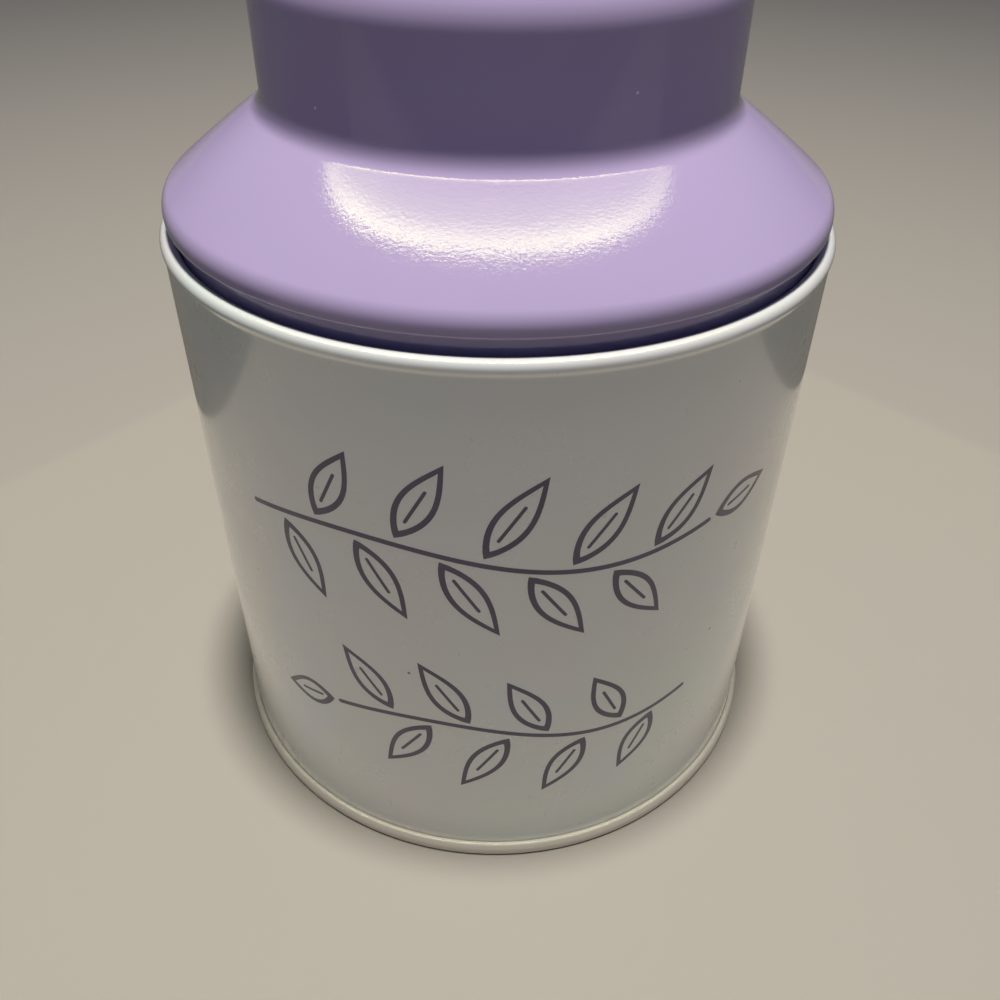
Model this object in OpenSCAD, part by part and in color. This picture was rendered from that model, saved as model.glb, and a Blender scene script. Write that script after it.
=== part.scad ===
// Tinplate canister: a rolled body with a seamed base, and a press-in lid with a shoulder and a neck.
// Each piece is one sheet, drawn as the line through the middle of its thickness and then revolved.

/* [Body] */
// Outside diameter of the straight wall
body_d = 99; // [80:0.5:140]
// Height of the tin up to the top of its mouth, without the lid
body_h = 96.8; // [50:0.1:180]
// Thickness of the plate, the same for every pressing
sheet_t = 0.25; // [0.2:0.01:0.32]
// Thickness of the roll round the mouth
curl_d = 2.3; // [1.8:0.1:2.8]
// How far the roll stands out past the wall
curl_out = 0.3; // [0.25:0.05:0.8]

/* [Side seam] */
// Width of the folded seam down the back
side_seam_w = 5; // [3:0.5:8]
// Layers of plate that the fold adds inside the wall
side_seam_layers = 2; // [1:1:3]
// Width of the groove that the fold leaves outside
groove_w = 0.3; // [0.2:0.05:0.4]

/* [Base] */
// Height of the seam round the base
chime_h = 2.6; // [2:0.1:4]
// Gap between the folded layers of the seam
chime_play = 0.12; // [0.05:0.01:0.2]
// Radius at the foot of the seam
chime_foot_r = 0.5; // [0.4:0.05:0.6]
// Height of the base panel above the table
base_rise = 3.4; // [2.9:0.1:6]
// Radius where the base panel turns down
base_edge_r = 1.2; // [0.5:0.1:2.5]
// Distance in from the base's wall to the middle of its stiffening ring
base_ring_inset = 13; // [8:0.5:25]

/* [Lid] */
// Height of the lid's lower edge above the mouth
lid_gap = 2.1; // [1:0.1:4]
// Width of the rounded hem under the lid's outer edge
hem_w = 1.05; // [0.8:0.05:1.3]
// Straight height of the lid's outer edge
edge_h = 1.1; // [0.95:0.05:3]
// Radius between the edge and the shoulder
edge_r = 2.8; // [1:0.1:5]
// Slope of the shoulder from level halfway down, in degrees
shoulder_slope = 36.5; // [20:0.5:50]
// Angle by which the crowned shoulder turns down on its way out, in degrees
shoulder_crown = 4; // [1:0.5:8]
// Outside diameter of the neck
neck_d = 66.6; // [40:0.2:80]
// Height of the neck above the sharp corner of neck and shoulder
neck_h = 19.5; // [10:0.1:40]
// Radius at the foot of the neck
neck_foot_r = 3.4; // [1:0.1:6]
// Radius round the top of the neck
neck_top_r = 5.2; // [2:0.1:8]

/* [Plug] */
// Depth of the plug below the lid's lower edge
plug_h = 11.7; // [7:0.1:25]
// Taper of the plug's wall, in degrees
plug_draft = 1.2; // [0.4:0.1:2.5]
// Gap between the plug and the mouth where they meet
plug_clear = 0.08; // [0.04:0.01:0.15]
// Gap between the folded layers of the hem
hem_play = 0.05; // [0.03:0.01:0.1]
// Radius round the plug's floor
plug_edge_r = 1.6; // [0.8:0.1:3]
// Distance in from the plug's wall to the middle of its stiffening ring
plug_ring_inset = 10.5; // [8:0.5:25]

/* [Stiffening rings] */
// Width of a pressed ring
ring_w = 5; // [3:0.5:8]
// Height of a pressed ring
ring_h = 0.7; // [0.4:0.1:1.2]

/* [Hidden] */
$fn = 180;

// Bends are cut into steps of at most this angle, which leave the true curve by at most this length
bend_step_a = 15;
bend_sag = 0.015;
// Points of an outline closer than this share of the plate are one point
same_point_share = 0.01;
// Reach of a cut past the solid it cuts
overrun = 1;

// Middle of the plate
mid_t = sheet_t / 2;

// Body, at the middle of its plate
body_r = body_d / 2;
wall_r = body_r - mid_t;
// Angle by which the wall leans out under the curl
flare = 30;
curl_mid_r = curl_d / 2 - mid_t;
curl_r = body_r + curl_out - curl_d / 2;
curl_z = body_h - curl_d / 2;
flare_run = curl_mid_r * tan(flare / 2);
flare_z = curl_z - flare_run;
// The lean takes its lower bend from what the upper bend leaves of its length
flare_bend_share = 0.9;
flare_bend_r = flare_bend_share * (curl_out / sin(flare) - flare_run) / tan(flare / 2);
mouth_r = curl_r - curl_d / 2;

// Layers of the base seam, at the middle of each plate, from the inside out
layer = sheet_t + chime_play;
chuck_r = wall_r - layer;
cover_hook_r = wall_r + layer;
body_hook_r = wall_r + 2 * layer;
chime_r = wall_r + 3 * layer;
flange_z = mid_t + layer;
chime_top_z = chime_h - mid_t;
body_hook_top = chime_top_z - layer;
cover_hook_end = flange_z + layer;

// Side seam
side_seam_build = side_seam_layers * sheet_t;
side_seam_z = base_rise + sheet_t;
side_seam_h = flare_z - curl_out - curl_d - side_seam_z;

// Lid, at the middle of its plate where a name ends in mid
hem_z = body_h + lid_gap;
hem_flange_z = hem_z + edge_h - hem_play - mid_t;
hem_fold_top = hem_flange_z - mid_t - hem_play;
plug_hem_r = mouth_r - plug_clear + (hem_flange_z - curl_z) * tan(plug_draft);
hem_bend_r = (hem_w - sheet_t) / 2;
fold_mid_r = plug_hem_r + hem_play + mid_t;
edge_mid_r = fold_mid_r + 2 * hem_bend_r;
lid_r = edge_mid_r + mid_t;
neck_mid_r = neck_d / 2 - mid_t;

// Crowned shoulder: two straight runs, steeper outside than inside, joined by one wide bend.
// Its outside corners come first, and then how far the middle of the plate lies inward of them.
outer_slope = shoulder_slope + shoulder_crown / 2;
inner_slope = shoulder_slope - shoulder_crown / 2;
half_run = (lid_r - neck_d / 2) / 2;
edge_corner_z = hem_z + edge_h + edge_r * tan((90 - outer_slope) / 2);
crown_z = edge_corner_z + half_run * tan(outer_slope);
neck_corner_z = crown_z + half_run * tan(inner_slope);
lid_top_z = neck_corner_z + neck_h;
edge_drop = mid_t * tan((90 - outer_slope) / 2);
neck_drop = mid_t * tan((90 - inner_slope) / 2);
crown_inward = mid_t / cos(shoulder_crown / 2);
// The wide bend takes this share of the shorter run between the edge's bend and the neck's
crown_bend_share = 0.95;
outer_run = half_run / cos(outer_slope) - edge_r * tan((90 - outer_slope) / 2);
inner_run = half_run / cos(inner_slope) - neck_foot_r * tan((90 - inner_slope) / 2);
crown_bend_r = crown_bend_share * min(outer_run, inner_run) / tan(shoulder_crown / 2);

// Plug
plug_floor_z = hem_z - plug_h + mid_t;
plug_floor_r = plug_hem_r - mid_t - (hem_flange_z - plug_floor_z) * tan(plug_draft);
plug_rim_r = edge_mid_r - mid_t - hem_play;
plug_hem_bend_r = mid_t + hem_play / 2;

// Flat share of a stiffening ring's width, and its bends' share of its height
ring_flat_share = 0.4;
ring_bend_share = 1.4;

function heading(a, b) = [b[0] - a[0], b[1] - a[1]] / norm([b[0] - a[0], b[1] - a[1]]);
function right_of(d) = [d[1], -d[0]];
function turned(v, a) = [v[0] * cos(a) - v[1] * sin(a), v[0] * sin(a) + v[1] * cos(a)];
function steps(turn, r) = ceil(abs(turn) / min(bend_step_a, 2 * acos(1 - bend_sag / max(r, bend_sag))));

// Points of the bend at corner p, between a and b, moved to the right of the line by off
function bend(a, p, b, off) =
    let (
        d = heading(a, p),
        e = heading(p, b),
        turn = atan2(cross(d, e), d * e),
        side = sign(turn),
        start = [p[0], p[1]] - d * p[2] * tan(abs(turn) / 2),
        centre = start - side * p[2] * right_of(d),
        reach = side * p[2] + off,
        n = steps(turn, p[2])
    )
    [for (i = [0 : n]) centre + reach * turned(right_of(d), turn * i / n)];

// One face of a sheet whose middle line runs through corners, each [radius, height, bend radius]
function face(corners, off) =
    let (
        last = len(corners) - 1,
        first_way = heading(corners[0], corners[1]),
        last_way = heading(corners[last - 1], corners[last])
    )
    concat(
        [[corners[0][0], corners[0][1]] + off * right_of(first_way)],
        [for (i = [1 : last - 1]) each bend(corners[i - 1], corners[i], corners[i + 1], off)],
        [[corners[last][0], corners[last][1]] + off * right_of(last_way)]
    );

function backwards(points) = [for (i = [len(points) - 1 : -1 : 0]) points[i]];
function distinct(points) =
    [for (i = [0 : len(points) - 1])
        if (norm(points[i] - points[(i + 1) % len(points)]) > same_point_share * sheet_t) points[i]];

// Corners of a ring pressed up into a level panel at height z, listed from the axis outward
function ring_corners(ring_r, z) =
    let (
        half = ring_w / 2,
        flat = half * ring_flat_share,
        bend_r = ring_h * ring_bend_share
    )
    [
        [ring_r - half, z, bend_r],
        [ring_r - flat, z + ring_h, bend_r],
        [ring_r + flat, z + ring_h, bend_r],
        [ring_r + half, z, bend_r]
    ];

// A round sheet-metal piece from the corners of its middle line
module sheet(corners) {
    rotate_extrude()
        polygon(distinct(concat(face(corners, mid_t), backwards(face(corners, -mid_t)))));
}

// Thickening inside the wall where the body's two edges are folded into each other
module side_seam() {
    intersection() {
        translate([0, 0, side_seam_z])
            difference() {
                cylinder(h = side_seam_h, r = wall_r);
                translate([0, 0, -overrun])
                    cylinder(h = side_seam_h + 2 * overrun, r = body_r - sheet_t - side_seam_build);
            }
        translate([-side_seam_w / 2, 0, 0])
            cube([side_seam_w, body_d, body_h]);
    }
}

// Line outside where the fold turns in
module side_seam_groove() {
    translate([side_seam_w / 2, sqrt(pow(body_r, 2) - pow(side_seam_w / 2, 2)), side_seam_z])
        rotate([0, 0, 45])
            translate([-groove_w / 2, -groove_w / 2, 0])
                cube([groove_w, groove_w, side_seam_h]);
}

// Rolled wall, with the hook of the base seam at its foot and the curl at its mouth
module body_wall() {
    color([0.9, 0.9, 0.87])
        difference() {
            union() {
                sheet([
                    [body_hook_r, body_hook_top],
                    [body_hook_r, flange_z, layer],
                    [wall_r, flange_z, layer],
                    [wall_r, flare_z - curl_out / tan(flare), flare_bend_r],
                    [wall_r + curl_out, flare_z, curl_mid_r],
                    [wall_r + curl_out, body_h - mid_t, curl_mid_r],
                    [curl_r - curl_mid_r, body_h - mid_t, curl_mid_r],
                    [curl_r - curl_mid_r, curl_z - curl_mid_r, curl_mid_r],
                    [curl_r, curl_z - curl_mid_r]
                ]);
                side_seam();
            }
            side_seam_groove();
        }
}

// Pressed base, whose rim wraps the body's hook
module base_end() {
    color([0.75, 0.72, 0.67])
        sheet(concat(
            [[0, base_rise - mid_t]],
            ring_corners(chuck_r - base_ring_inset, base_rise - mid_t),
            [
                [chuck_r, base_rise - mid_t, base_edge_r],
                [chuck_r, mid_t, chime_foot_r],
                [chime_r, mid_t, chime_foot_r],
                [chime_r, chime_top_z, layer],
                [cover_hook_r, chime_top_z, layer],
                [cover_hook_r, cover_hook_end]
            ]
        ));
}

// Lid pressing: hem, edge, shoulder, neck and top
module lid_shell() {
    color([0.74, 0.66, 0.83])
        sheet([
            [fold_mid_r, hem_fold_top],
            [fold_mid_r, hem_z + mid_t, hem_bend_r],
            [edge_mid_r, hem_z + mid_t, hem_bend_r],
            [edge_mid_r, edge_corner_z - edge_drop, edge_r - mid_t],
            [
                lid_r - half_run - crown_inward * sin(shoulder_slope),
                crown_z - crown_inward * cos(shoulder_slope),
                crown_bend_r
            ],
            [neck_mid_r, neck_corner_z - neck_drop, neck_foot_r + mid_t],
            [neck_mid_r, lid_top_z - mid_t, neck_top_r - mid_t],
            [0, lid_top_z - mid_t]
        ]);
}

// Drawn pan that closes the lid and wedges in the mouth
module lid_plug() {
    color([0.66, 0.58, 0.76])
        sheet(concat(
            [[0, plug_floor_z]],
            ring_corners(plug_floor_r - plug_ring_inset, plug_floor_z),
            [
                [plug_floor_r, plug_floor_z, plug_edge_r],
                [plug_hem_r - mid_t, hem_flange_z, plug_hem_bend_r],
                [plug_rim_r, hem_flange_z]
            ]
        ));
}

body_wall();
base_end();
lid_shell();
lid_plug();
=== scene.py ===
"""A tinplate canister with a press-in lid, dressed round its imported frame.

Lengths are in millimetres and become metres where a mesh, a light or the camera is made.
"""
from math import atan2, ceil, cos, hypot, pi, radians, sin, sqrt, tan

import bpy
from mathutils import Matrix, Vector


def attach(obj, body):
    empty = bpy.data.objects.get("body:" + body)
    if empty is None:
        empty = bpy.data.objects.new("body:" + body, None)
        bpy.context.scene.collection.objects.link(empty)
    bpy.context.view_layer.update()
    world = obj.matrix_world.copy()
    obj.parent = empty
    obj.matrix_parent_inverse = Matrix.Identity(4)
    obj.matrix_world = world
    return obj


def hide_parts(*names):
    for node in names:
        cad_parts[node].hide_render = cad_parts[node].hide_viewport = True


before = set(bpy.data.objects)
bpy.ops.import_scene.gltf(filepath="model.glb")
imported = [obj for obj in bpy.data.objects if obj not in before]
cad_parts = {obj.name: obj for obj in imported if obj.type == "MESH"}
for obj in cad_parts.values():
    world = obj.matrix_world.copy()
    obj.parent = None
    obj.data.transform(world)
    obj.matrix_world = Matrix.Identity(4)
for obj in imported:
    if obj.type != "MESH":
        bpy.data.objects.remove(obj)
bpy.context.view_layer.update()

MM = 0.001

# Plate, body wall and curl
SHEET_T = 0.25
SAME_POINT = SHEET_T / 100
BODY_R = 49.5
BODY_H = 96.8
CURL_D = 2.3
CURL_OUT = 0.3
FLARE = radians(30)
FLARE_BEND_SHARE = 0.9

# Side seam, down the back
SEAM_W = 5
SEAM_BUILD = 0.5
GROOVE_W = 0.5
GROOVE_DEPTH = 0.12
GROOVE_FADE = 1.5

# Base and its seam
CHIME_H = 2.6
CHIME_PLAY = 0.12
CHIME_LAYERS = 3
BODY_HOOK_LAYERS = 1.5
CHIME_FOOT_R = 0.5
CHIME_TOP_IN = 0.28
CHIME_TOP_R = 0.34
CHIME_FACE_Z = 1.5
CHIME_FACE_R = 2
CHIME_HOOK_R = 0.16
CHIME_HOOK_GAP = 0.02
BASE_RISE = 3.4
BASE_EDGE_R = 1.2
BASE_RING_INSET = 13

# Lid
LID_GAP = 2.1
HEM_W = 1.05
EDGE_H = 1.1
EDGE_R = 2.8
SHOULDER_SLOPE = radians(36.5)
SHOULDER_CROWN = radians(4)
CROWN_BEND_SHARE = 0.95
NECK_R = 33.3
NECK_H = 19.5
NECK_FOOT_R = 3.4
NECK_TOP_R = 5.2

# Plug and hem
PLUG_H = 11.7
PLUG_DRAFT = radians(1.2)
PLUG_CLEAR = 0.08
HEM_PLAY = 0.05
PLUG_EDGE_R = 1.6
PLUG_RING_INSET = 10.5

# Pressed rings
RING_W = 5
RING_H = 0.7
RING_FLAT_SHARE = 0.4
RING_BEND_SHARE = 1.4

# Fineness of the meshes
SEGMENTS = 384
BEND_STEP = radians(6)
BEND_STEPS_LEAST = 3
SUPPORT = 0.35
RUN_STEP = 12
SHARP_ANGLE = radians(40)

# Camera, fitted to the circles and outlines in the photograph
IMAGE_PX = 1000
SENSOR = 36
FOCAL_PX = 951.96
CAMERA_AT = (-0.526, -142.253, 150.149)
PITCH = 0.6655
YAW = 0.0092
ROLL = -0.0122
NEAREST = 20


def heading(a, b):
    """Unit vector from a to b."""
    length = hypot(b[0] - a[0], b[1] - a[1])
    return (b[0] - a[0]) / length, (b[1] - a[1]) / length


def right_of(d):
    return d[1], -d[0]


def turned(v, angle):
    return v[0] * cos(angle) - v[1] * sin(angle), v[0] * sin(angle) + v[1] * cos(angle)


def bend(a, p, b, offset):
    """Points of the bend at corner p, between a and b, moved right of the line by offset."""
    d, e = heading(a, p), heading(p, b)
    turn = atan2(d[0] * e[1] - d[1] * e[0], d[0] * e[0] + d[1] * e[1])
    side = 1 if turn > 0 else -1
    radius = p[2]
    back = radius * tan(abs(turn) / 2)
    normal = right_of(d)
    centre = [p[k] - d[k] * back - side * radius * normal[k] for k in (0, 1)]
    reach = side * radius + offset
    count = max(BEND_STEPS_LEAST, ceil(abs(turn) / BEND_STEP))
    points = []
    for i in range(count + 1):
        n = turned(normal, turn * i / count)
        points.append((centre[0] + reach * n[0], centre[1] + reach * n[1]))
    return points


def run(a, b):
    """Points on the straight from a to b. Close ones at its ends keep the bends' shading off it."""
    length = hypot(b[0] - a[0], b[1] - a[1])
    if length < 3 * SUPPORT:
        return []
    d = heading(a, b)
    count = ceil((length - 2 * SUPPORT) / RUN_STEP)
    places = [SUPPORT + (length - 2 * SUPPORT) * i / count for i in range(count + 1)]
    return [(a[0] + d[0] * s, a[1] + d[1] * s) for s in places]


def beside(point, d, offset):
    normal = right_of(d)
    return point[0] + offset * normal[0], point[1] + offset * normal[1]


def face(corners, offset):
    """One face of a plate whose middle line runs through corners.

    Each corner is (radius, height, bend radius), and the two ends have no bend.
    """
    pieces = [[beside(corners[0], heading(corners[0], corners[1]), offset)]]
    pieces += [bend(*corners[i - 1:i + 2], offset) for i in range(1, len(corners) - 1)]
    pieces += [[beside(corners[-1], heading(corners[-2], corners[-1]), offset)]]
    points = list(pieces[0])
    for piece in pieces[1:]:
        points += run(points[-1], piece[0]) + piece
    return points


def outline(corners):
    """Closed outline of a plate, in radius and height, without points that lie on each other."""
    points = face(corners, SHEET_T / 2) + face(corners, -SHEET_T / 2)[::-1]
    kept = []
    for point in points:
        if not kept or hypot(point[0] - kept[-1][0], point[1] - kept[-1][1]) > SAME_POINT:
            kept.append(point)
    return kept


def even_angles():
    return [2 * pi * i / SEGMENTS for i in range(SEGMENTS)]


def add_object(name, data):
    piece = bpy.data.objects.new(name, data)
    bpy.context.scene.collection.objects.link(piece)
    return piece


def add_mesh(name, vertices, faces):
    mesh = bpy.data.meshes.new(name)
    mesh.from_pydata(vertices, [], faces)
    mesh.validate()
    return add_object(name, mesh)


def lathe(name, points, angles, relief=None):
    """Solid of revolution, with triangles where it meets the axis.

    relief(radius, height, angle) moves a point outward, away from the axis.
    """
    vertices, rings = [], []
    for r, z in points:
        if r < SAME_POINT:
            rings.append([len(vertices)])
            vertices.append((0, 0, z * MM))
            continue
        rings.append(range(len(vertices), len(vertices) + len(angles)))
        for a in angles:
            moved = r + (relief(r, z, a) if relief else 0)
            vertices.append((moved * cos(a) * MM, moved * sin(a) * MM, z * MM))
    faces = []
    for low, high in zip(rings, rings[1:] + rings[:1]):
        if len(low) == 1 and len(high) == 1:
            continue
        for i in range(len(angles)):
            j = (i + 1) % len(angles)
            quad = [ring[k % len(ring)] for ring, k in ((low, i), (low, j), (high, j), (high, i))]
            faces.append(list(dict.fromkeys(quad)))
    piece = add_mesh(name, vertices, faces)
    piece.data.shade_smooth()
    piece.data.set_sharp_from_angle(angle=SHARP_ANGLE)
    return piece


def pressed_ring(ring_r, z):
    """Corners of a ring pressed up into a level panel at height z."""
    half = RING_W / 2
    flat = half * RING_FLAT_SHARE
    bend_r = RING_H * RING_BEND_SHARE
    return [
        (ring_r - half, z, bend_r),
        (ring_r - flat, z + RING_H, bend_r),
        (ring_r + flat, z + RING_H, bend_r),
        (ring_r + half, z, bend_r),
    ]


# Places worked out from the sizes, at the middle of the plate
MID = SHEET_T / 2
WALL_R = BODY_R - MID
LAYER = SHEET_T + CHIME_PLAY
CHIME_R = WALL_R + CHIME_LAYERS * LAYER
CURL_MID_R = CURL_D / 2 - MID
CURL_R = BODY_R + CURL_OUT - CURL_D / 2
CURL_Z = BODY_H - CURL_D / 2
FLARE_RUN = CURL_MID_R * tan(FLARE / 2)
FLARE_Z = CURL_Z - FLARE_RUN
FLARE_BEND_R = FLARE_BEND_SHARE * (CURL_OUT / sin(FLARE) - FLARE_RUN) / tan(FLARE / 2)
MOUTH_R = CURL_R - CURL_D / 2
SEAM_Z = BASE_RISE + SHEET_T
SEAM_TOP = FLARE_Z - CURL_OUT - CURL_D

HEM_Z = BODY_H + LID_GAP
HEM_FLANGE_Z = HEM_Z + EDGE_H - HEM_PLAY - MID
HEM_BEND_R = (HEM_W - SHEET_T) / 2
PLUG_HEM_R = MOUTH_R - PLUG_CLEAR + (HEM_FLANGE_Z - CURL_Z) * tan(PLUG_DRAFT)
FOLD_R = PLUG_HEM_R + HEM_PLAY + MID
EDGE_MID_R = FOLD_R + 2 * HEM_BEND_R
LID_R = EDGE_MID_R + MID
OUTER_SLOPE = SHOULDER_SLOPE + SHOULDER_CROWN / 2
INNER_SLOPE = SHOULDER_SLOPE - SHOULDER_CROWN / 2
HALF_RUN = (LID_R - NECK_R) / 2
EDGE_HALF = (pi / 2 - OUTER_SLOPE) / 2
NECK_HALF = (pi / 2 - INNER_SLOPE) / 2
EDGE_CORNER_Z = HEM_Z + EDGE_H + EDGE_R * tan(EDGE_HALF)
CROWN_Z = EDGE_CORNER_Z + HALF_RUN * tan(OUTER_SLOPE)
NECK_CORNER_Z = CROWN_Z + HALF_RUN * tan(INNER_SLOPE)
LID_TOP_Z = NECK_CORNER_Z + NECK_H
CROWN_INWARD = MID / cos(SHOULDER_CROWN / 2)
OUTER_RUN = HALF_RUN / cos(OUTER_SLOPE) - EDGE_R * tan(EDGE_HALF)
INNER_RUN = HALF_RUN / cos(INNER_SLOPE) - NECK_FOOT_R * tan(NECK_HALF)
CROWN_BEND_R = CROWN_BEND_SHARE * min(OUTER_RUN, INNER_RUN) / tan(SHOULDER_CROWN / 2)
PLUG_FLOOR_Z = HEM_Z - PLUG_H + MID
PLUG_FLOOR_R = PLUG_HEM_R - MID - (HEM_FLANGE_Z - PLUG_FLOOR_Z) * tan(PLUG_DRAFT)


def seam_angles():
    """Angles round the wall, closer together at the edges of the side seam and of its groove."""
    steps = [GROOVE_W * share for share in (-0.5, -0.25, 0, 0.25, 0.5)]
    near = [pi / 2 - (edge + step) / BODY_R for edge in (-SEAM_W / 2, SEAM_W / 2) for step in steps]
    clear = pi / SEGMENTS / 2
    kept = [a for a in even_angles() if min(abs(a - n) for n in near) > clear]
    return sorted(kept + near)


def seam_relief(r, z, angle):
    """Depth of the side seam: a thick band inside the wall, and one groove outside."""
    if not SEAM_Z <= z <= SEAM_TOP or r > BODY_R + CURL_OUT / 4:
        return 0
    along = (pi / 2 - angle) * BODY_R
    fade = min(1, (z - SEAM_Z) / GROOVE_FADE, (SEAM_TOP - z) / GROOVE_FADE)
    if r < WALL_R:
        return -SEAM_BUILD * fade if abs(along) <= SEAM_W / 2 else 0
    off = abs(along - SEAM_W / 2)
    return -GROOVE_DEPTH * fade * max(0, 1 - 2 * off / GROOVE_W)


def body_wall():
    corners = [
        (WALL_R + BODY_HOOK_LAYERS * LAYER, MID + LAYER),
        (WALL_R, MID + LAYER, LAYER),
        (WALL_R, FLARE_Z - CURL_OUT / tan(FLARE), FLARE_BEND_R),
        (WALL_R + CURL_OUT, FLARE_Z, CURL_MID_R),
        (WALL_R + CURL_OUT, BODY_H - MID, CURL_MID_R),
        (CURL_R - CURL_MID_R, BODY_H - MID, CURL_MID_R),
        (CURL_R - CURL_MID_R, CURL_Z - CURL_MID_R, CURL_MID_R),
        (CURL_R, CURL_Z - CURL_MID_R),
    ]
    return lathe("wall", outline(corners), seam_angles(), seam_relief)


def base():
    corners = [(0, BASE_RISE - MID)]
    corners += pressed_ring(WALL_R - LAYER - BASE_RING_INSET, BASE_RISE - MID)
    corners += [
        (WALL_R - LAYER, BASE_RISE - MID, BASE_EDGE_R),
        (WALL_R - LAYER, MID, CHIME_FOOT_R),
        (CHIME_R, MID, CHIME_FOOT_R),
        (CHIME_R, CHIME_FACE_Z, CHIME_FACE_R),
        (CHIME_R - CHIME_TOP_IN, CHIME_H - MID, CHIME_TOP_R),
        (WALL_R + SHEET_T + CHIME_HOOK_GAP, CHIME_H - MID, CHIME_HOOK_R),
        (WALL_R + SHEET_T + CHIME_HOOK_GAP, MID + 2 * LAYER),
    ]
    return lathe("base", outline(corners), even_angles())


def lid_outer():
    corners = [
        (FOLD_R, HEM_FLANGE_Z - MID - HEM_PLAY),
        (FOLD_R, HEM_Z + MID, HEM_BEND_R),
        (EDGE_MID_R, HEM_Z + MID, HEM_BEND_R),
        (EDGE_MID_R, EDGE_CORNER_Z - MID * tan(EDGE_HALF), EDGE_R - MID),
        (
            LID_R - HALF_RUN - CROWN_INWARD * sin(SHOULDER_SLOPE),
            CROWN_Z - CROWN_INWARD * cos(SHOULDER_SLOPE),
            CROWN_BEND_R,
        ),
        (NECK_R - MID, NECK_CORNER_Z - MID * tan(NECK_HALF), NECK_FOOT_R + MID),
        (NECK_R - MID, LID_TOP_Z - MID, NECK_TOP_R - MID),
        (0, LID_TOP_Z - MID),
    ]
    return lathe("lid_pressing", outline(corners), even_angles())


def plug():
    corners = [(0, PLUG_FLOOR_Z)]
    corners += pressed_ring(PLUG_FLOOR_R - PLUG_RING_INSET, PLUG_FLOOR_Z)
    corners += [
        (PLUG_FLOOR_R, PLUG_FLOOR_Z, PLUG_EDGE_R),
        (PLUG_HEM_R - MID, HEM_FLANGE_Z, MID + HEM_PLAY / 2),
        (EDGE_MID_R - MID - HEM_PLAY, HEM_FLANGE_Z),
    ]
    return lathe("plug_pan", outline(corners), even_angles())


# Sockets of a Mix node that mixes colours: its other modes repeat their names
MIX_SHARE = 0
MIX_A = 6
MIX_B = 7
MIX_RESULT = 2

# Specks: where their rim ends, and how sharply the cells that have one are chosen
SPECK_CORE = 0.6
SPECK_CHOICE = 0.98


class Nodes:
    """Short names for adding and joining shader nodes."""

    def __init__(self, name):
        self.material = bpy.data.materials.new(name)
        self.material.use_nodes = True
        self.tree = self.material.node_tree
        self.shader = self.tree.nodes["Principled BSDF"]
        self.place = self.add("ShaderNodeTexCoord").outputs["Object"]

    def add(self, kind, **inputs):
        node = self.tree.nodes.new(kind)
        for key, value in inputs.items():
            self.set(node, key, value)
        return node

    def set(self, node, key, value):
        socket = node.inputs[key]
        if isinstance(value, bpy.types.NodeSocket):
            self.tree.links.new(value, socket)
        else:
            socket.default_value = value

    def noise(self, scale, detail=2.0, roughness=0.5, stretch=None):
        place = self.place
        if stretch:
            place = self.add("ShaderNodeMapping", Vector=place, Scale=stretch).outputs[0]
        node = self.add(
            "ShaderNodeTexNoise", Vector=place, Scale=scale, Detail=detail, Roughness=roughness
        )
        return node.outputs["Fac"]

    def ramp(self, value, low, high, to_low=0.0, to_high=1.0):
        """value from low to high becomes to_low to to_high, and stays there beyond them."""
        ends = {"From Min": low, "From Max": high, "To Min": to_low, "To Max": to_high}
        node = self.add("ShaderNodeMapRange", Value=value, **ends)
        node.clamp = True
        return node.outputs[0]

    def specks(self, scale, radius, share):
        """Small round specks, each in its cell of a scattered grid, and only in a share of them."""
        cell = self.add("ShaderNodeTexVoronoi", Vector=self.place, Scale=scale)
        there = self.ramp(cell.outputs["Distance"], radius, radius * SPECK_CORE)
        lot = self.add("ShaderNodeSeparateXYZ", Vector=cell.outputs["Color"]).outputs[0]
        return self.times(there, self.ramp(lot, share, share * SPECK_CHOICE))

    def times(self, a, b):
        node = self.tree.nodes.new("ShaderNodeMath")
        node.operation = "MULTIPLY"
        self.set(node, 0, a)
        self.set(node, 1, b)
        return node.outputs[0]

    def mix(self, share, a, b):
        node = self.tree.nodes.new("ShaderNodeMix")
        node.data_type = "RGBA"
        self.set(node, MIX_SHARE, share)
        self.set(node, MIX_A, a)
        self.set(node, MIX_B, b)
        return node.outputs[MIX_RESULT]

    def bump(self, height, distance, normal=None):
        node = self.add("ShaderNodeBump", Height=height, Distance=distance * MM)
        if normal:
            self.set(node, "Normal", normal)
        return node.outputs[0]

    def paint(self, **inputs):
        """Set the shader's sockets, named with _ for a space, and give the material."""
        for key, value in inputs.items():
            self.set(self.shader, key.replace("_", " "), value)
        return self.material


# Paint colours, deep and light where they drift, and the specks in them
PEARL = (0.84, 0.83, 0.795, 1)
PEARL_GREEN = (0.80, 0.86, 0.79, 1)
PEARL_PINK = (0.88, 0.80, 0.80, 1)
PEARL_BLUE = (0.79, 0.83, 0.88, 1)
DARK_SPECK = (0.12, 0.10, 0.09, 1)
LAVENDER_DEEP = (0.43, 0.345, 0.548, 1)
LAVENDER_LIGHT = (0.45, 0.362, 0.573, 1)
PALE_SPECK = (0.75, 0.72, 0.74, 1)
INK_DEEP = (0.075, 0.05, 0.11, 1)
INK_LIGHT = (0.10, 0.07, 0.15, 1)
TIN_DEEP = (0.87, 0.81, 0.67, 1)
TIN_LIGHT = (0.92, 0.87, 0.74, 1)


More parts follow.
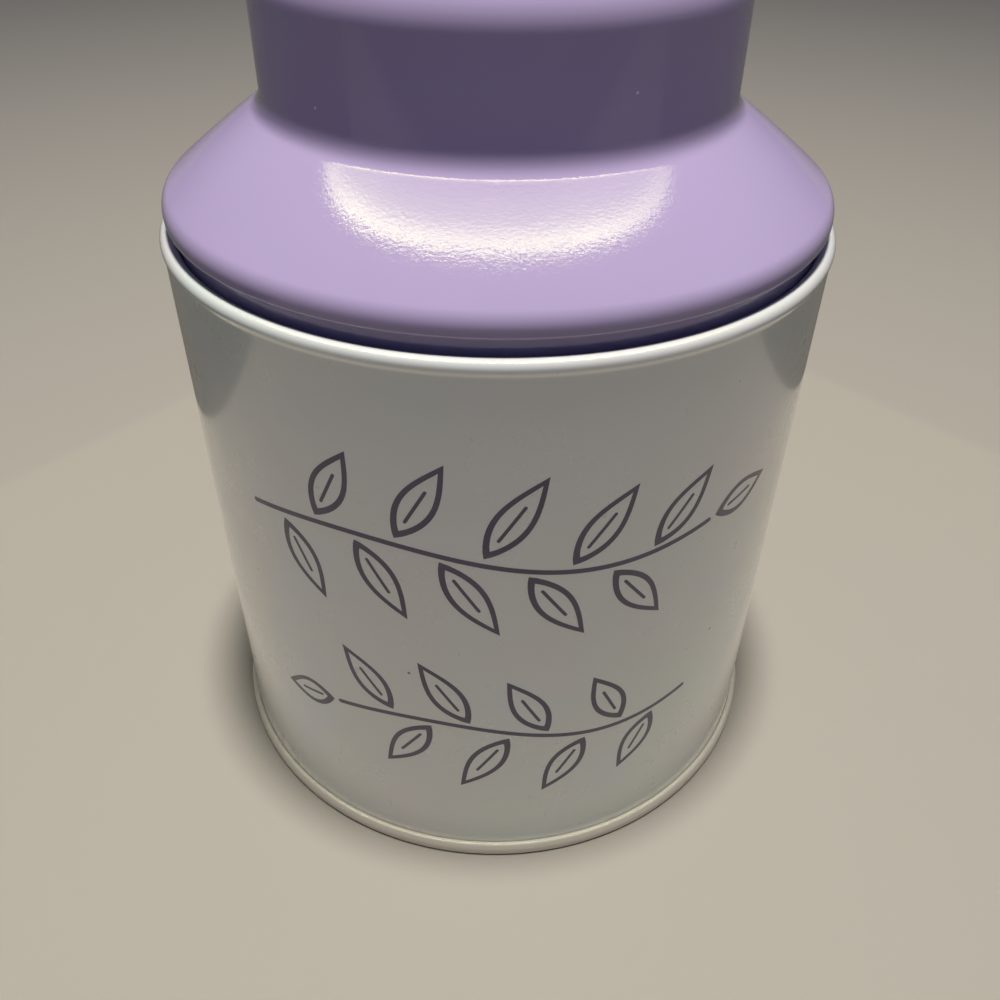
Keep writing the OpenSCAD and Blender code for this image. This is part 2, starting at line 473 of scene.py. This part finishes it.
def pearl_white():
    n = Nodes("pearl_white")
    green = n.noise(scale=18.0)
    pink = n.noise(scale=31.0)
    blue = n.noise(scale=43.0)
    colour = n.mix(n.ramp(green, low=0.4, high=0.62), PEARL, PEARL_GREEN)
    colour = n.mix(n.ramp(pink, low=0.55, high=0.75, to_high=0.8), colour, PEARL_PINK)
    colour = n.mix(n.ramp(blue, low=0.55, high=0.75, to_high=0.8), colour, PEARL_BLUE)
    colour = n.mix(n.specks(scale=150.0, radius=0.045, share=0.12), colour, DARK_SPECK)
    peel = n.noise(scale=1500.0)
    wave = n.noise(scale=40.0, detail=1.0)
    normal = n.bump(wave, distance=0.08, normal=n.bump(peel, distance=0.001))
    smear = n.noise(scale=90.0, detail=4.0, roughness=0.6)
    return n.paint(
        Base_Color=colour,
        Metallic=0.1,
        Roughness=n.ramp(smear, low=0.35, high=0.7, to_low=0.26, to_high=0.36),
        Coat_Weight=1.0,
        Coat_Roughness=0.1,
        Coat_IOR=1.9,
        Normal=normal,
    )


def lavender():
    n = Nodes("lavender")
    drift = n.noise(scale=25.0, detail=3.0)
    colour = n.mix(n.ramp(drift, low=0.35, high=0.65), LAVENDER_DEEP, LAVENDER_LIGHT)
    colour = n.mix(n.specks(scale=130.0, radius=0.035, share=0.3), colour, PALE_SPECK)
    peel = n.noise(scale=2100.0, roughness=0.6)
    return n.paint(
        Base_Color=colour,
        Roughness=0.55,
        Specular_IOR_Level=0.0,
        Coat_Weight=1.0,
        Coat_Roughness=0.07,
        Coat_Normal=n.bump(peel, distance=0.0105),
        Normal=n.bump(peel, distance=0.002),
    )


def ink():
    n = Nodes("ink")
    drift = n.noise(scale=120.0, detail=3.0)
    wear = n.noise(scale=400.0, detail=3.0)
    peel = n.noise(scale=1500.0)
    return n.paint(
        Base_Color=n.mix(n.ramp(drift, low=0.35, high=0.65), INK_DEEP, INK_LIGHT),
        Roughness=n.ramp(wear, low=0.3, high=0.7, to_low=0.3, to_high=0.45),
        Coat_Weight=0.5,
        Coat_Roughness=0.1,
        Normal=n.bump(peel, distance=0.002),
    )


def tinplate():
    n = Nodes("tinplate")
    rolled = n.noise(scale=300.0, detail=3.0, roughness=0.6, stretch=(1, 1, 30))
    drift = n.noise(scale=30.0, detail=3.0)
    return n.paint(
        Base_Color=n.mix(n.ramp(drift, low=0.35, high=0.65), TIN_DEEP, TIN_LIGHT),
        Metallic=0.15,
        Roughness=n.ramp(rolled, low=0.3, high=0.7, to_low=0.3, to_high=0.42),
        Normal=n.bump(rolled, distance=0.003),
    )


# Printed sprigs: places are along the wall from the middle of its front, and up from the floor
INK_R = (49.45, 49.52)
LINE_W = 0.8
LINE_STEP = 0.8
LINE_STEPS_LEAST = 4
LINE_END_W = 0.2
LINE_END_SHARES = (0, 0.1, 0.35, 1)
LEAF_HALF_W = 2.7
LEAF_POINTS = 18
LEAF_POWER = 0.85
LEAF_TIP = 1.9 * LINE_W
LEAF_STALK = 1.3
VEIN_W = 0.5
VEIN_FROM = 0.22
VEIN_TO = 0.66
LEAN_DEGREES = 64
LEAN_STEP_DEGREES = 3
PAIR_AT = 0.75
PAIR_STAGGER = 0.25
PAIR_MARGIN = 0.9
LONGEST_PAIR = 2
SHORTENING = 0.06
END_LEAF_STALK = 0.9
END_LEAF_SHARE = 0.75
SPRIGS = [
    {"z": 66.5, "from": -38, "to": 32, "wave": 2.2, "pairs": 5, "length": 15.5},
    {"z": 31.5, "from": 33, "to": -26, "wave": -2.0, "pairs": 4, "length": 14.5},
]


def on_wall(s, z, r):
    angle = s / BODY_R - pi / 2
    return r * cos(angle) * MM, r * sin(angle) * MM, z * MM


def ribbon(outer, inner, closed):
    """Thin solid between two lines of points that run side by side, both (along, up)."""
    vertices = [on_wall(s, z, r) for a, b in zip(outer, inner) for r in INK_R for s, z in (a, b)]
    count = len(outer)
    faces = []
    for i in range(count if closed else count - 1):
        a, b = 4 * i, 4 * ((i + 1) % count)
        faces += [
            (a, b, b + 1, a + 1),
            (a + 2, a + 3, b + 3, b + 2),
            (a, a + 2, b + 2, b),
            (a + 1, b + 1, b + 3, a + 3),
        ]
    if not closed:
        end = 4 * (count - 1)
        faces += [(0, 1, 3, 2), (end, end + 2, end + 3, end + 1)]
    return vertices, faces


def line(points, width):
    """Open stroke with rounded ends."""
    lengths = [0]
    for a, b in zip(points, points[1:]):
        lengths.append(lengths[-1] + hypot(b[0] - a[0], b[1] - a[1]))
    left, right = [], []
    for i, point in enumerate(points):
        d = heading(points[max(0, i - 1)], points[min(len(points) - 1, i + 1)])
        end = min(1, min(lengths[i], lengths[-1] - lengths[i]) / (width / 2))
        rounding = sqrt(max(0, 1 - (1 - end) ** 2))
        half = width / 2 * (LINE_END_W + (1 - LINE_END_W) * rounding)
        left.append((point[0] - d[1] * half, point[1] + d[0] * half))
        right.append((point[0] + d[1] * half, point[1] - d[0] * half))
    return ribbon(left, right, False)


def stroke_points(curve, start, end, width):
    """Points along curve(t), with extra ones close to both ends for their rounding."""
    a, b = curve(start), curve(end)
    count = max(LINE_STEPS_LEAST, ceil(hypot(b[0] - a[0], b[1] - a[1]) / LINE_STEP))
    close = [width / 2 * share / (count * LINE_STEP) for share in LINE_END_SHARES]
    ts = close + [i / count for i in range(1, count)] + [1 - c for c in close[::-1]]
    return [curve(start + (end - start) * t) for t in sorted(ts)]


def leaf(at, angle, length):
    """Outline of a pointed leaf, and its vein."""

    def placed(along, across):
        return (
            at[0] + along * cos(angle) - across * sin(angle),
            at[1] + along * sin(angle) + across * cos(angle),
        )

    def middle(along):
        return placed(along, 0)

    def lens(start, end, half):
        upper, lower = [], []
        for i in range(LEAF_POINTS + 1):
            along = start + (end - start) * i / LEAF_POINTS
            across = half * sin(pi * (i / LEAF_POINTS) ** LEAF_POWER)
            upper.append(placed(along, across))
            lower.append(placed(along, -across))
        return upper + lower[-2:0:-1]

    outer = lens(0, length, LEAF_HALF_W)
    inner = lens(LEAF_TIP, length - LEAF_TIP, LEAF_HALF_W - LINE_W)
    vein = stroke_points(middle, length * VEIN_FROM, length * VEIN_TO, VEIN_W)
    return [ribbon(outer, inner, True), line(vein, VEIN_W)]


def sprig(form):
    """A wavy stem with pairs of leaves, longest in the middle, and one leaf at its end."""
    start, end = form["from"], form["to"]
    way = 1 if end > start else -1

    def stem(s):
        return s, form["z"] + form["wave"] * sin(2 * pi * (s - start) / (end - start))

    parts = [line(stroke_points(stem, start, end, LINE_W), LINE_W)]
    spacing = (end - start) / (form["pairs"] + PAIR_MARGIN)
    for i in range(form["pairs"]):
        lean = radians(LEAN_DEGREES - LEAN_STEP_DEGREES * i)
        length = form["length"] * (1 - SHORTENING * abs(i - LONGEST_PAIR))
        for side in (1, -1):
            at = stem(start + spacing * (i + PAIR_AT + PAIR_STAGGER * side))
            angle = side * lean if way > 0 else pi - side * lean
            foot = (at[0] + LEAF_STALK * cos(angle), at[1] + LEAF_STALK * sin(angle))
            parts += leaf(foot, angle, length)
    tip = stem(end)
    d = heading(stem(end - way), tip)
    foot = (tip[0] + END_LEAF_STALK * d[0], tip[1] + END_LEAF_STALK * d[1])
    parts += leaf(foot, atan2(d[1], d[0]), form["length"] * END_LEAF_SHARE)
    return parts


def motif():
    vertices, faces = [], []
    for part_vertices, part_faces in [part for form in SPRIGS for part in sprig(form)]:
        offset = len(vertices)
        vertices += part_vertices
        faces += [[i + offset for i in indices] for indices in part_faces]
    return add_mesh("sprigs", vertices, faces)


def dress(piece, material, body, slot, *nodes):
    piece.data.materials.append(material)
    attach(piece, body)
    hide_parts(*nodes)


WHITE = pearl_white()
LAVENDER = lavender()
TINPLATE = tinplate()

dress(body_wall(), WHITE, "can", "pearl_white_enamel", "body_wall")
dress(base(), TINPLATE, "can", "bare_tinplate", "base_end")
dress(lid_outer(), LAVENDER, "lid", "lavender_enamel", "lid_shell")
dress(plug(), LAVENDER, "lid", "lavender_enamel", "lid_plug")

sprigs = motif()
sprigs.data.materials.append(ink())
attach(sprigs, "can")

# Floor: a wide counter. Its front edge is behind the camera, so the tin mirrors the dark beyond it.
FLOOR_SIZE = 4000
FLOOR_FRONT = -320
FLOOR_COLOUR = (0.408, 0.379, 0.328, 1)


def floor():
    half = FLOOR_SIZE / 2 * MM
    front = FLOOR_FRONT * MM
    corners = [(-half, front, 0), (half, front, 0), (half, half, 0), (-half, half, 0)]
    piece = add_mesh("floor", corners, [(0, 1, 2, 3)])
    n = Nodes("floor")
    piece.data.materials.append(n.paint(Base_Color=FLOOR_COLOUR, Roughness=0.6))


floor()

# Flags: two dark walls that the tin's sides mirror, as in the corner where it stands.
# Each has its direction from the tin's axis and its distance.
FLAGS = [((0.73, 0.68), 150), ((-0.765, 0.643), 133)]
FLAG_SPAN = 520
FLAG_FOOT = 1
FLAG_H = 110
FLAG_COLOUR = (0.32, 0.32, 0.29, 1)


def flag(towards, distance):
    across = Vector((-towards[1], towards[0], 0))
    middle = Vector((*towards, 0)) * distance
    corners = [
        (middle + across * FLAG_SPAN / 2 * side + Vector((0, 0, z))) * MM
        for side, z in ((-1, FLAG_FOOT), (1, FLAG_FOOT), (1, FLAG_H), (-1, FLAG_H))
    ]
    piece = add_mesh("flag", corners, [(0, 1, 2, 3)])
    n = Nodes("flag")
    piece.data.materials.append(n.paint(Base_Color=FLAG_COLOUR, Roughness=0.8))
    piece.visible_camera = False
    piece.visible_shadow = False


for towards, distance in FLAGS:
    flag(towards, distance)

# Light: a soft lamp overhead, and a bright arc that only glossy faces such as the shoulder show
LAMP_H = 900
LAMP_D = 110
LAMP_LEAN = (0.01, -0.052)
LAMP_POWER = 9.3
LAMP_COLOUR = (1.0, 0.96, 0.91)
ARC_AT = (0, 265, 506)
ARC_OUTER_R = 362
ARC_INNER_R = 290
ARC_FROM = radians(-80)
ARC_TO = radians(80)
ARC_RADIANCE = 15.5
ARC_STEPS = 60
ARC_COLOUR = (0.95, 1.0, 0.52, 1)


def overhead_lamp():
    light = bpy.data.lights.new("overhead", "AREA")
    light.shape = "DISK"
    light.size = LAMP_D * MM
    light.energy = LAMP_POWER
    light.color = LAMP_COLOUR
    lamp = add_object("overhead", light)
    lamp.location = (LAMP_LEAN[0] * LAMP_H * MM, LAMP_LEAN[1] * LAMP_H * MM, LAMP_H * MM)
    lamp.rotation_euler = (-lamp.location).to_track_quat("-Z", "Y").to_euler()
    lamp.visible_glossy = False


def ring_lamp():
    """Part of a level ring, brightest in the middle and at its outer edge."""
    x, y, z = ARC_AT
    vertices, places = [], []
    for i in range(ARC_STEPS + 1):
        share = i / ARC_STEPS
        angle = ARC_FROM + (ARC_TO - ARC_FROM) * share
        for r, across in ((ARC_OUTER_R, 0), (ARC_INNER_R, 1)):
            vertices.append(((x + r * sin(angle)) * MM, (y - r * cos(angle)) * MM, z * MM))
            places.append((share, across))
    faces = [(2 * i, 2 * i + 1, 2 * i + 3, 2 * i + 2) for i in range(ARC_STEPS)]
    ring = add_mesh("ring_lamp", vertices, faces)
    layer = ring.data.uv_layers.new(name="ring")
    for loop in ring.data.loops:
        layer.data[loop.index].uv = places[loop.vertex_index]
    n = Nodes("ring_lamp")
    uv = n.add("ShaderNodeSeparateXYZ", Vector=n.add("ShaderNodeTexCoord").outputs["UV"])
    along, across = uv.outputs["X"], uv.outputs["Y"]
    rise = n.ramp(along, low=0, high=0.22, to_low=0.1)
    fall = n.ramp(along, low=0.66, high=0.96, to_low=1, to_high=0.12)
    rim = n.ramp(across, low=0.1, high=0.42, to_low=1, to_high=0.3)
    inside = n.ramp(across, low=0.42, high=1, to_low=1, to_high=0.25)
    strength = n.times(n.times(rise, fall), n.times(rim, inside))
    ring.data.materials.append(
        n.paint(
            Base_Color=(0, 0, 0, 1),
            Emission_Color=ARC_COLOUR,
            Emission_Strength=n.times(strength, ARC_RADIANCE),
        )
    )
    ring.visible_camera = False
    ring.visible_diffuse = False
    ring.visible_shadow = False


overhead_lamp()
ring_lamp()

# Sky: a dim cool fill, and a plain grey backdrop that only the camera sees
SKY_COLOUR = (0.4, 0.55, 1.0, 1)
SKY_STRENGTH = 0.095
BACKDROP_COLOUR = (0.11, 0.105, 0.092, 1)


def studio():
    world = bpy.data.worlds.new("studio")
    world.use_nodes = True
    nodes, links = world.node_tree.nodes, world.node_tree.links
    sky = nodes["Background"]
    sky.inputs["Color"].default_value = SKY_COLOUR
    sky.inputs["Strength"].default_value = SKY_STRENGTH
    backdrop = nodes.new("ShaderNodeBackground")
    backdrop.inputs["Color"].default_value = BACKDROP_COLOUR
    seen = nodes.new("ShaderNodeMixShader")
    links.new(nodes.new("ShaderNodeLightPath").outputs["Is Camera Ray"], seen.inputs[0])
    links.new(sky.outputs[0], seen.inputs[1])
    links.new(backdrop.outputs[0], seen.inputs[2])
    links.new(seen.outputs[0], nodes["World Output"].inputs["Surface"])
    bpy.context.scene.world = world
    bpy.context.scene.view_settings.view_transform = "Standard"


studio()


def camera():
    x_axis = Vector((cos(YAW), -sin(YAW), 0))
    forward = Vector((sin(YAW) * cos(PITCH), cos(YAW) * cos(PITCH), -sin(PITCH)))
    up = Vector((sin(YAW) * sin(PITCH), cos(YAW) * sin(PITCH), cos(PITCH)))
    right = x_axis * cos(ROLL) - up * sin(ROLL)
    top = x_axis * sin(ROLL) + up * cos(ROLL)
    data = bpy.data.cameras.new("camera")
    data.sensor_width = SENSOR
    data.lens = FOCAL_PX / IMAGE_PX * SENSOR
    data.clip_start = NEAREST * MM
    view = add_object("camera", data)
    matrix = Matrix((right, top, -forward)).transposed().to_4x4()
    matrix.translation = Vector(CAMERA_AT) * MM
    view.matrix_world = matrix
    bpy.context.scene.camera = view


camera()
